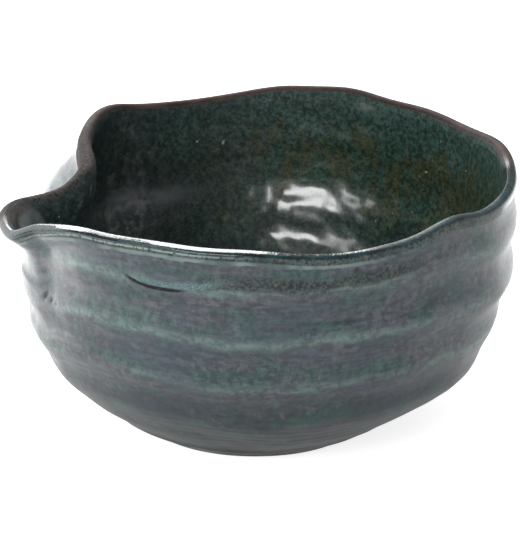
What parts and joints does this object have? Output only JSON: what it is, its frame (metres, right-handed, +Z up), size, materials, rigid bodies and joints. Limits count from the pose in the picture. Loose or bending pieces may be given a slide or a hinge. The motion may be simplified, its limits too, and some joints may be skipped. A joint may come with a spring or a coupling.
{
  "type": "spouted bowl",
  "caption": "Hand-thrown stoneware serving bowl with a wavy rim, one pulled and pinched pouring lip, a low foot ring and glossy glaze inside.",
  "frame": {"origin": "on the table, below the middle of the whole bowl", "axes": "+Z up, the spout points along -X, the side seen in front is -Y"},
  "size_m": [0.155, 0.15, 0.0813],
  "materials": {
    "stoneware_clay": "bare grey-brown stoneware, mostly hidden by the glaze",
    "foot_clay": "bare grey-brown stoneware, turned and wiped",
    "outside_glaze": "satin grey-violet over green, streaked along the throwing ridges",
    "inside_glaze": "glossy dark green with teal, brown and pale specks",
    "rim_glaze": "glossy iron brown, thin over the lip"
  },
  "bodies": {
    "root": {"clay_bowl": "stoneware_clay", "foot_ring": "foot_clay", "outside_glaze": "outside_glaze", "rim_glaze": "rim_glaze", "inside_glaze": "inside_glaze"}
  },
  "joints": []
}
